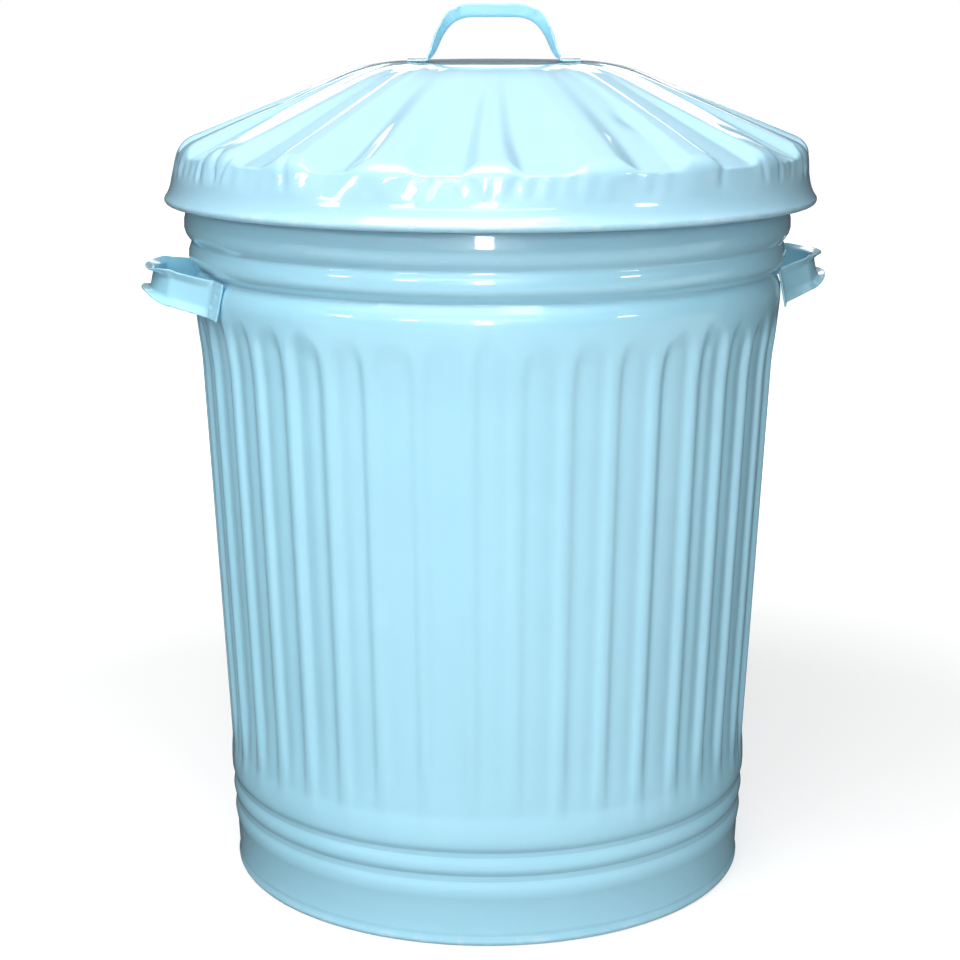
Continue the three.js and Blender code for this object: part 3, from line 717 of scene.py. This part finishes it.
def strap_grid(strap, path, lip, turned, welds, depth, radius, brim):
    """A strap carried along a path in one plane: for every station the closed outline of its
    section, both faces and two edges, each half a circle round the middle line's end. Both faces
    sink in round dimples where the feet are welded: a smooth hump of the given depth and radius,
    with a low brim round it. Welds lie at (from the foot's end, across)."""
    along = np.gradient(path, axis=0)
    along /= np.linalg.norm(along, axis=1, keepdims=True)
    line, normal = strap_outline(strap, lip, turned)
    sink = 0.0
    for end in (path[0, 1] - path[:, 1:], path[:, 1:] - path[-1, 1]):
        for place, aside in welds:
            apart = np.hypot(end - place, line[:, :, 1] - aside)
            sink = sink + depth * smooth(1 - apart / radius)
            sink = sink - brim * hump(apart, radius + 0.6 * MM, 1.3 * MM)
    half, sink = strap.thickness / 2, sink[:, :, None]
    cap = np.radians([60, 30, 0, -30, -60])[:, None]

    def edge(column, sign):
        up = normal[:, column:column + 1]
        way = sign * up[:, :, ::-1] * [-1, 1]
        return line[:, column:column + 1] + half * (up * np.sin(cap) + way * np.cos(cap))

    section = [line + (half - sink) * normal, edge(line.shape[1] - 1, 1),
               (line - (half + sink) * normal)[:, ::-1], edge(0, -1)[:, ::-1]]
    # It starts at the middle of the left edge, so that opposite points pair up in the caps.
    section = np.roll(np.concatenate(section, axis=1), 2, axis=1)
    x = path[:, :1] - along[:, 1:] * section[:, :, 0]
    y = path[:, 1:] + along[:, :1] * section[:, :, 0]
    return np.stack([x, y, section[:, :, 1]], axis=2)


def add_strap(name, grid, *looks):
    """Closes a strap's two ends with strips of faces between opposite points of its outline. The
    strap is rubbed along its two edges, which lie at the ends of the outline."""
    rows, columns = grid.shape[:2]
    k = np.arange(columns // 2 - 1)
    cap = np.stack([k, k + 1, columns - 2 - k, columns - 1 - k], axis=1)
    quads = [ring_faces(rows, columns), cap[:, ::-1], cap + (rows - 1) * columns]
    k = np.arange(columns)
    from_edge = np.minimum(np.minimum(k, columns - k), np.abs(k - columns / 2))
    worn = np.broadcast_to(hump(from_edge, 0, 5.0), (rows, columns))
    add_piece(name, grid, np.concatenate(quads), worn, *looks)


def side_handle_grid(can, strap, bow, seed):
    """A side handle on the +X side: a path in plan of two feet that hug the can, two legs and a
    grip bowed out in a parabola, tilted up about the middle of its feet."""
    height = can.height - strap.side_drop
    seat = strap.side_seat + strap.thickness / 2
    end = strap.side_span / 2
    root = end - strap.side_foot
    bend_x, bend_y = taper(can, height) + strap.side_reach, strap.side_grip / 2
    foot_y = np.linspace(end, root, 7)
    grip_y = np.linspace(bend_y, 0, 12)
    foot_x = np.sqrt(seat ** 2 - foot_y ** 2)
    grip_x = bend_x + bow * (1 - (grip_y / bend_y) ** 2)
    half = np.stack([np.append(foot_x, grip_x), np.append(foot_y, grip_y)], axis=1)
    radii = np.array([0.9] * 6 + [3.0, 2.2] + [2.0] * 11)
    path, at = rounded_path(half, radii, 1.1 * MM)
    y = np.abs(path[:, 1])
    leg = np.clip((root - y) / (root - bend_y), 0, 1)
    grip = np.clip(1 - y / bend_y, 0, 1)
    turned = 0.2 * smooth((root + 3 * MM - y) / (6 * MM)) + 0.32 * leg + 0.48 * smooth(grip * 1.6)
    draw = np.random.default_rng(seed)
    waver = np.cos(at / (17 * MM) + draw.uniform(0, 6)) + np.cos(at / (9 * MM) + draw.uniform(0, 6))
    turned = turned + 0.03 * waver * leg - 0.16 * hump(y, bend_y, 5 * MM)
    welds = ((0.35 * strap.side_foot, 4.5 * MM), (0.62 * strap.side_foot, -4.0 * MM))
    grid = strap_grid(strap, path, strap.side_lip, turned, welds, 0.7 * MM, 3.0 * MM, 0.25 * MM)
    pivot = math.sqrt(seat ** 2 - ((end + root) / 2) ** 2)
    c, s = math.cos(strap.side_tilt), math.sin(strap.side_tilt)
    out, y, up = np.moveaxis(grid, -1, 0)
    out = out - pivot
    return np.stack([pivot + out * c - up * s, y, height + out * s + up * c], axis=2)


def lid_handle_grid(sheet, lid, strap):
    """The lid handle, stood up on the lid: feet, legs that narrow upwards and a flat grip. In its
    own plane the first coordinate is the height and the second runs along the grip."""
    half = np.array([(0.0, strap.lid_span / 2)]
                    + [(up * MM, out * MM) for up, out in LID_HANDLE_PATH]
                    + [(strap.lid_rise, LID_GRIP_HALF * MM)])
    path, at = rounded_path(half, np.array([1.0, 3.4, 4.0, 7.0, 5.5, 5.0]), 1.0 * MM)
    rise, y = path[:, 0], np.abs(path[:, 1])
    leg = np.clip(rise / LID_LEG, 0, 1)
    grip = smooth((rise - LID_LEG) / (strap.lid_rise - LID_LEG))
    turned = 0.18 * smooth(rise / (2 * MM)) + 0.32 * leg + 0.5 * grip
    turned = turned + 0.03 * np.cos(at / (8 * MM)) * leg - 0.14 * hump(y, 27 * MM, 4 * MM) * leg
    welds = ((7 * MM, 4.0 * MM), (12.5 * MM, -4.5 * MM))
    grid = strap_grid(strap, path, strap.lid_lip, turned, welds, 0.6 * MM, 2.8 * MM, 0.0)
    seat = lid_top(lid) + sheet.gap + strap.thickness / 2
    up, along, across = np.moveaxis(grid, -1, 0)
    return np.stack([along + strap.lid_shift + lid.shift, across, up + seat], axis=2)


def wire_ring(name, radius, height, thickness, centre, *looks):
    """A round wire bent into a ring: the torus with (R + a cos v) round the axis and a sin v up."""
    v = np.linspace(0, TURN, 17)[:-1, None]
    u = np.linspace(0, TURN, 361)[:-1]
    rows = spun(radius + thickness / 2 * np.cos(v), height + thickness / 2 * np.sin(v), u) + centre
    add_piece(name, rows, ring_faces(len(v), len(u), joined=True), np.zeros(rows.shape[:2]), *looks)


# ---- Materials ----

WHITE = (1, 1, 1, 1)


class Nodes:
    """A short way to fill the node tree of a material or a world."""

    def __init__(self, owner):
        owner.use_nodes = True
        self.tree = owner.node_tree
        self.tree.nodes.clear()

    def add(self, kind, inputs=None, out=0, **values):
        """A new node's output. Each input is another node's output, a number or a colour."""
        node = self.tree.nodes.new("ShaderNode" + kind)
        for key, value in values.items():
            setattr(node, key, value)
        for key, value in (inputs or {}).items():
            if isinstance(value, bpy.types.NodeSocket):
                self.tree.links.new(value, node.inputs[key])
            else:
                node.inputs[key].default_value = value
        return node.outputs[out]

    def noise(self, place, scale, detail, roughness=0.5):
        return self.add("TexNoise", {"Vector": place, "Scale": scale, "Detail": detail,
                                     "Roughness": roughness}, "Fac")

    def scaled(self, value, low, high, to_low, to_high):
        return self.add("MapRange", {"Value": value, "From Min": low, "From Max": high,
                                     "To Min": to_low, "To Max": to_high}, "Result")

    def reckon(self, operation, a, b):
        return self.add("Math", {0: a, 1: b}, operation=operation)

    def blend(self, share_of_b, a, b):
        return self.add("Mix", {0: share_of_b, 6: a, 7: b}, 2, data_type="RGBA")

    def bump(self, height, strength, distance, **more):
        return self.add("Bump", {"Height": height, "Strength": strength, "Distance": distance,
                                 **more})

    def finish(self, kind, surface):
        output = self.tree.nodes.new("ShaderNodeOutput" + kind)
        self.tree.links.new(surface, output.inputs["Surface"])


def shade(rgb, factor):
    """A colour made lighter or darker, with a full alpha."""
    return tuple(min(1.0, max(0.0, c * factor)) for c in rgb) + (1.0,)


def painted_steel(name, rgb, looks, peel=0.06):
    """Gloss powder paint: slight clouds of colour, orange peel, duller patches, thin paler paint
    where an edge is rubbed, and a clear gloss on top."""
    material = bpy.data.materials.new(name)
    n = Nodes(material)
    place = n.add("TexCoord", out="Object")
    clouds = n.noise(place, 7.0, 3.0)
    fine = n.noise(place, 62.0, 2.0)
    tone = n.blend(n.scaled(clouds, 0.1, 0.9, 0.0, 1.0), shade(rgb, 0.93), shade(rgb, 1.07))
    tone = n.blend(n.scaled(fine, 0.2, 0.9, 0.0, 0.3), tone, shade(rgb, 0.96))
    rubbed = n.add("Attribute", out="Fac", attribute_name="worn")
    patches = n.scaled(n.noise(place, 95.0, 4.0, 0.6), 0.52, 0.68, 0.0, 0.55)
    patchy = n.reckon("MULTIPLY", rubbed, patches)
    pale = tuple(0.55 * c + 0.45 * p for c, p in zip(rgb, (0.86, 0.90, 0.92))) + (1.0,)
    rough = n.scaled(clouds, 0.1, 0.9, looks.gloss - 0.06, looks.gloss + 0.07)
    bumps = n.bump(n.noise(place, 420.0, 1.5), peel, 0.0006)
    bumps = n.bump(n.noise(place, 1500.0, 2.0, 0.6), 0.02, 0.0002, Normal=bumps)
    n.finish("Material", n.add("BsdfPrincipled", {
        "Base Color": n.blend(patchy, tone, pale),
        "Roughness": n.reckon("ADD", rough, n.reckon("MULTIPLY", patchy, 0.5)),
        "Normal": bumps, "IOR": 1.5, "Specular IOR Level": 0.8,
        "Coat Weight": looks.coat, "Coat Roughness": 0.06,
    }))
    return material


def drawn_wire(name, rgb):
    """Bare drawn steel wire: fine scratches, dull grey patches and a trace of oxide."""
    material = bpy.data.materials.new(name)
    n = Nodes(material)
    place = n.add("TexCoord", out="Object")
    patches = n.noise(place, 40.0, 4.0)
    oxide = (0.30, 0.27, 0.25, 1.0)
    n.finish("Material", n.add("BsdfPrincipled", {
        "Base Color": n.blend(n.scaled(patches, 0.4, 0.7, 0.0, 1.0), shade(rgb, 1.1), oxide),
        "Roughness": n.scaled(patches, 0.3, 0.7, 0.3, 0.55),
        "Metallic": 0.9,
        "Normal": n.bump(n.noise(place, 900.0, 2.0), 0.12, 0.0002),
    }))
    return material


def white_floor(name, near_level):
    """White floor: it takes the object's shadow, and for the camera it glows just enough to be
    white where no shadow lies. Far from the object it is white all over. Gloss sees it white in
    front of the object alone, as if dark cloths lay beside, behind and far in front of it, which
    keeps the can's edges crisp."""
    material = bpy.data.materials.new(name)
    n = Nodes(material)
    place = n.add("TexCoord", out="Object")
    away = n.add("VectorMath", {0: place}, "Value", operation="LENGTH")
    path = n.add("LightPath").node.outputs
    seen = n.reckon("MAXIMUM", path["Is Camera Ray"], path["Is Transmission Ray"])
    level = n.reckon("MULTIPLY", seen, n.scaled(away, 0.6, 1.6, near_level, 1.0))
    glow = n.add("Emission", {"Color": WHITE, "Strength": level})
    plain_white = n.add("BsdfDiffuse", {"Color": (0.48, 0.48, 0.48, 1)})
    both = n.add("AddShader", {0: plain_white, 1: glow})
    depth = n.add("SeparateXYZ", {0: place}, "Y")
    lit = n.reckon("MULTIPLY", n.scaled(depth, -0.5, -0.12, 1.0, 0.05),
                   n.scaled(depth, -4.6, -2.8, 0.1, 1.0))
    mirrored = n.add("Emission", {"Color": WHITE, "Strength": lit})
    n.finish("Material", n.add("MixShader", {
        0: path["Is Glossy Ray"], 1: both, 2: mirrored}))
    return material


# ---- Stage ----

FLOOR_HALF = 14.0
LAMP_TARGET = (0.0, 0.0, 0.38)  # The middle of the can.

# Lamps: name, degrees to the side of the camera's heading and up, distance, width and height in
# metres, and the setting that holds its power.
LAMPS = (
    ("key", -20, 62, 2.2, 1.7, 0.7, "key"),
    ("strip", -12, 49, 2.4, 2.4, 0.6, "strip"),
    ("low_strip", -6, 23, 2.5, 2.4, 0.1, "low_strip"),
    ("fill", -1, 12, 2.9, 0.3, 0.3, "fill"),
    ("back", 180, 24, 2.6, 1.8, 0.6, "back"),
    *(("glint_" + str(k), side, 18, 2.6, 0.34, 0.12, "glint")
      for k, side in enumerate((-55, -29, -2, 53))),
)


def add_floor(look):
    """A level square that the object stands on."""
    side = FLOOR_HALF
    mesh = bpy.data.meshes.new("floor")
    mesh.from_pydata([(-side, -side, 0), (side, -side, 0), (side, side, 0), (-side, side, 0)],
                     [], [(0, 1, 2, 3)])
    mesh.materials.append(white_floor("white floor", look.floor))
    add_object("floor", mesh)


def add_surroundings(look):
    """An even light from all round, white for the camera. Gloss sees a white ceiling over the
    object and a dim room round the rest."""
    world = bpy.data.worlds.new("white surroundings")
    bpy.context.scene.world = world
    n = Nodes(world)
    path = n.add("LightPath").node.outputs
    way = n.add("SeparateXYZ", {0: n.add("TexCoord", out="Generated")}, "Z")
    ceiling = n.scaled(way, 0.45, 0.7, look.room, 0.9)
    mirror = n.reckon("MAXIMUM", path["Is Glossy Ray"], path["Is Transmission Ray"])
    level = n.add("Mix", {0: mirror, 2: look.ambient, 3: ceiling})
    level = n.add("Mix", {0: path["Is Camera Ray"], 2: level, 3: 1.0})
    n.finish("World", n.add("Background", {"Color": WHITE, "Strength": level}))


def step_away(distance, around, lift=0.0):
    """Where a step of this length leads, turned so far from straight in front, and up."""
    level = distance * math.cos(lift)
    return level * math.sin(around), -level * math.cos(around), distance * math.sin(lift)


def add_lamp(name, heading, side, up, distance, width, height, watts):
    """A soft rectangular lamp aimed at the middle of the can."""
    back = step_away(distance, heading + math.radians(side), math.radians(up))
    data = bpy.data.lights.new(name, "AREA")
    data.shape = "RECTANGLE"
    data.size, data.size_y = width, height
    data.energy = watts
    lamp = add_object(name, data)
    lamp.location = [a + b for a, b in zip(LAMP_TARGET, back)]
    lamp.rotation_euler = (math.atan2(math.hypot(back[0], back[1]), back[2]), 0.0,
                           math.atan2(back[0], -back[1]))


def add_camera(look):
    """The camera at the photograph's viewing angle."""
    data = bpy.data.cameras.new("camera")
    data.lens = look.lens
    data.sensor_width = 36.0
    data.shift_x = look.shift
    data.clip_start, data.clip_end = 0.05, 60.0
    camera = add_object("camera", data)
    camera.location = step_away(look.distance, look.heading)[:2] + (look.eye,)
    camera.rotation_euler = (math.pi / 2 - look.down, 0.0, look.heading)
    bpy.context.scene.camera = camera


# ---- Operators ----

class DUSTBIN_OT_can_wall(bpy.types.Operator):
    """Build the fluted side wall with its ribbed foot and collar"""

    bl_idname = "dustbin.can_wall"
    bl_label = "Can wall"

    def execute(self, context):
        s = context.scene.dustbin
        paint = painted_steel("can gloss paint", s.looks.can, s.looks)
        open_sheet("fluted_wall", *can_surface(s.sheet, s.can), s.sheet.thickness, 3,
                   paint, "can_paint", "can", "body_shell")
        return {"FINISHED"}


class DUSTBIN_OT_base(bpy.types.Operator):
    """Build the pan pushed up inside the foot"""

    bl_idname = "dustbin.base"
    bl_label = "Base pan"

    def execute(self, context):
        s = context.scene.dustbin
        surface = base_surface(s.sheet, s.can, s.base)
        paint = painted_steel("base gloss paint", s.looks.base, s.looks)
        capped_sheet("base_pan", surface, np.zeros(surface.shape[:2]), s.sheet.thickness, 2,
                     paint, "base_paint", "can", "base_panel")
        return {"FINISHED"}


class DUSTBIN_OT_wires(bpy.types.Operator):
    """Build the wires inside the rolled edges"""

    bl_idname = "dustbin.wires"
    bl_label = "Edge wires"

    def execute(self, context):
        s = context.scene.dustbin
        sheet, can, lid = s.sheet, s.can, s.lid
        steel = drawn_wire("drawn steel wire", s.looks.wire)
        outside = roll_radius(sheet)
        middle = (0, 0, 0)
        off = (lid.shift * math.cos(lid.turn), lid.shift * math.sin(lid.turn), 0)
        for edge, radius, height, centre, body in (
                ("foot", can.foot_radius - can.foot_tuck, outside, middle, "can"),
                ("rim", rim_radius(sheet, can), can.height - outside, middle, "can"),
                ("lid", lid.edge_radius - outside, lid.edge_height, off, "lid")):
            wire_ring(edge + "_edge_wire", radius, height, sheet.wire, centre,
                      steel, "edge_wire", body, edge + "_wire")
        return {"FINISHED"}


class DUSTBIN_OT_side_handles(bpy.types.Operator):
    """Build the two strap handles on the collar"""

    bl_idname = "dustbin.side_handles"
    bl_label = "Side handles"

    def execute(self, context):
        s = context.scene.dustbin
        paint = painted_steel("handle gloss paint", s.looks.handle, s.looks, peel=0.08)
        for side, turn, bow, seed in (("right", 0.0, s.strap.right_bow, 3),
                                      ("left", math.pi, s.strap.left_bow, 4)):
            grid = turned_to(side_handle_grid(s.can, s.strap, bow, seed), turn)
            add_strap("strap_handle_" + side, grid,
                      paint, "handle_paint", "can", "side_handle_" + side)
        return {"FINISHED"}


class DUSTBIN_OT_lid(bpy.types.Operator):
    """Build the fluted conical lid"""

    bl_idname = "dustbin.lid"
    bl_label = "Lid"

    def execute(self, context):
        s = context.scene.dustbin
        surface, worn = lid_surface(s.sheet, s.lid)
        surface[:, :, 0] += s.lid.shift
        surface = turned_to(surface, s.lid.turn, s.lid.edge_height)
        paint = painted_steel("lid gloss paint", s.looks.lid, s.looks)
        capped_sheet("fluted_lid", surface, worn, s.sheet.thickness, 3,
                     paint, "lid_paint", "lid", "lid_shell")
        return {"FINISHED"}


class DUSTBIN_OT_lid_handle(bpy.types.Operator):
    """Build the strap handle on the lid"""

    bl_idname = "dustbin.lid_handle"
    bl_label = "Lid handle"

    def execute(self, context):
        s = context.scene.dustbin
        grid = lid_handle_grid(s.sheet, s.lid, s.strap)
        grid = turned_to(grid, s.lid.turn, s.lid.edge_height)
        paint = painted_steel("lid handle gloss paint", s.looks.handle, s.looks, peel=0.08)
        add_strap("strap_handle_lid", grid, paint, "handle_paint", "lid", "lid_handle")
        return {"FINISHED"}


class DUSTBIN_OT_stage(bpy.types.Operator):
    """Add the floor, the lamps, the white surroundings and the camera"""

    bl_idname = "dustbin.stage"
    bl_label = "Stage"

    def execute(self, context):
        look = context.scene.dustbin.stage
        context.scene.view_settings.view_transform = "Standard"
        add_floor(look)
        add_surroundings(look)
        for name, *place, setting in LAMPS:
            add_lamp(name, look.heading, *place, getattr(look, setting))
        add_camera(look)
        return {"FINISHED"}


# ---- Add-on ----

class DustbinSettings(bpy.types.PropertyGroup):
    """All sizes and looks of the dustbin."""

    sheet: group(SheetSizes, "Sheet", "Sheet and wire")
    can: group(CanSizes, "Can", "Sizes of the can")
    base: group(BaseSizes, "Base", "Sizes of the base pan")
    lid: group(LidSizes, "Lid", "Sizes of the lid")
    strap: group(StrapSizes, "Straps", "Sizes of the handles")
    looks: group(FinishLooks, "Finish", "Colours and gloss")
    stage: group(StageLooks, "Stage", "Lamps, floor and camera")


BUILD_ORDER = (
    DUSTBIN_OT_can_wall,
    DUSTBIN_OT_base,
    DUSTBIN_OT_wires,
    DUSTBIN_OT_side_handles,
    DUSTBIN_OT_lid,
    DUSTBIN_OT_lid_handle,
    DUSTBIN_OT_stage,
)


class DUSTBIN_PT_build(bpy.types.Panel):
    """Lists the dustbin's pieces"""

    bl_label = "Dustbin"
    bl_idname = "DUSTBIN_PT_build"
    bl_space_type = "VIEW_3D"
    bl_region_type = "UI"
    bl_category = "Dustbin"

    def draw(self, context):
        for operator in BUILD_ORDER:
            self.layout.operator(operator.bl_idname)


CLASSES = (SheetSizes, CanSizes, BaseSizes, LidSizes, StrapSizes, FinishLooks, StageLooks,
           DustbinSettings) + BUILD_ORDER + (DUSTBIN_PT_build,)


def register():
    for cls in CLASSES:
        bpy.utils.register_class(cls)
    bpy.types.Scene.dustbin = bpy.props.PointerProperty(type=DustbinSettings)


def unregister():
    del bpy.types.Scene.dustbin
    for cls in reversed(CLASSES):
        bpy.utils.unregister_class(cls)


def plain(box):
    """A box as plain lists of numbers."""
    return [[round(float(value), 5) for value in corner_point] for corner_point in box]


def main():
    register()
    for operator in BUILD_ORDER:
        module, name = operator.bl_idname.split(".")
        getattr(getattr(bpy.ops, module), name)()


if __name__ == "__main__":
    main()
